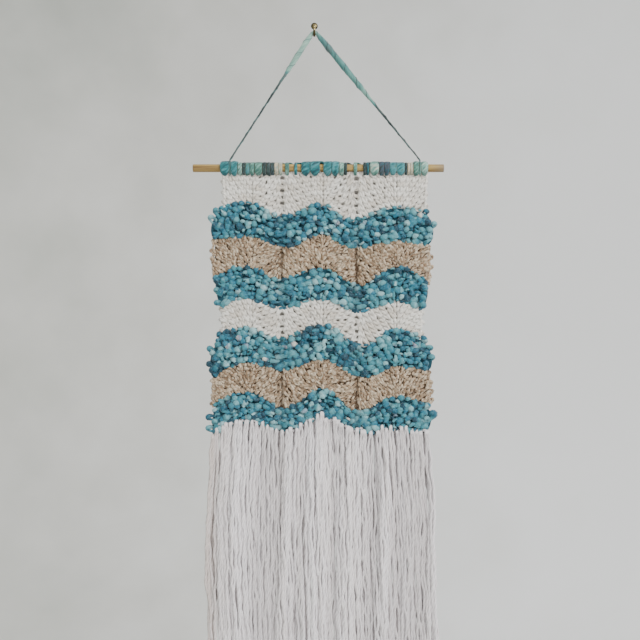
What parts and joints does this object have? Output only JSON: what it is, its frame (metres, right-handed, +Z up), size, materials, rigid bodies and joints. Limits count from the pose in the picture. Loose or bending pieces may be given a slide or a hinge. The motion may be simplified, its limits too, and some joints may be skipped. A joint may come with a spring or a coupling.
{
  "type": "knitted wall hanging on a wooden dowel with a screw hook",
  "caption": "Wavy striped hand-knitted hanging with a long yarn fringe, lashed to a wooden dowel that hangs by a slub yarn from a small brass screw hook.",
  "frame": {"origin": "the hook screw's axis where it enters the wall, so the wall's face is the plane y = 0", "axes": "+Z up, +X to the viewer's right, +Y into the wall, the hanging's front towards -Y"},
  "size_m": [0.3048, 0.0317, 0.8043],
  "materials": {
    "brass": "polished, slightly tarnished",
    "birch": "bare, lightly sanded",
    "pale_green_yarn": "soft thick-and-thin yarn",
    "blue_slub_yarn": "soft slub yarn, teal to pale aqua",
    "striped_knit": "hand-knitted in ivory, tan and blue-green yarns",
    "ivory_yarn": "plied ivory yarn"
  },
  "bodies": {
    "root": {"hook": "brass", "hanger": "pale_green_yarn", "dowel": "birch", "lashing": "blue_slub_yarn", "knitted_panel": "striped_knit", "fringe": "ivory_yarn"}
  },
  "joints": []
}
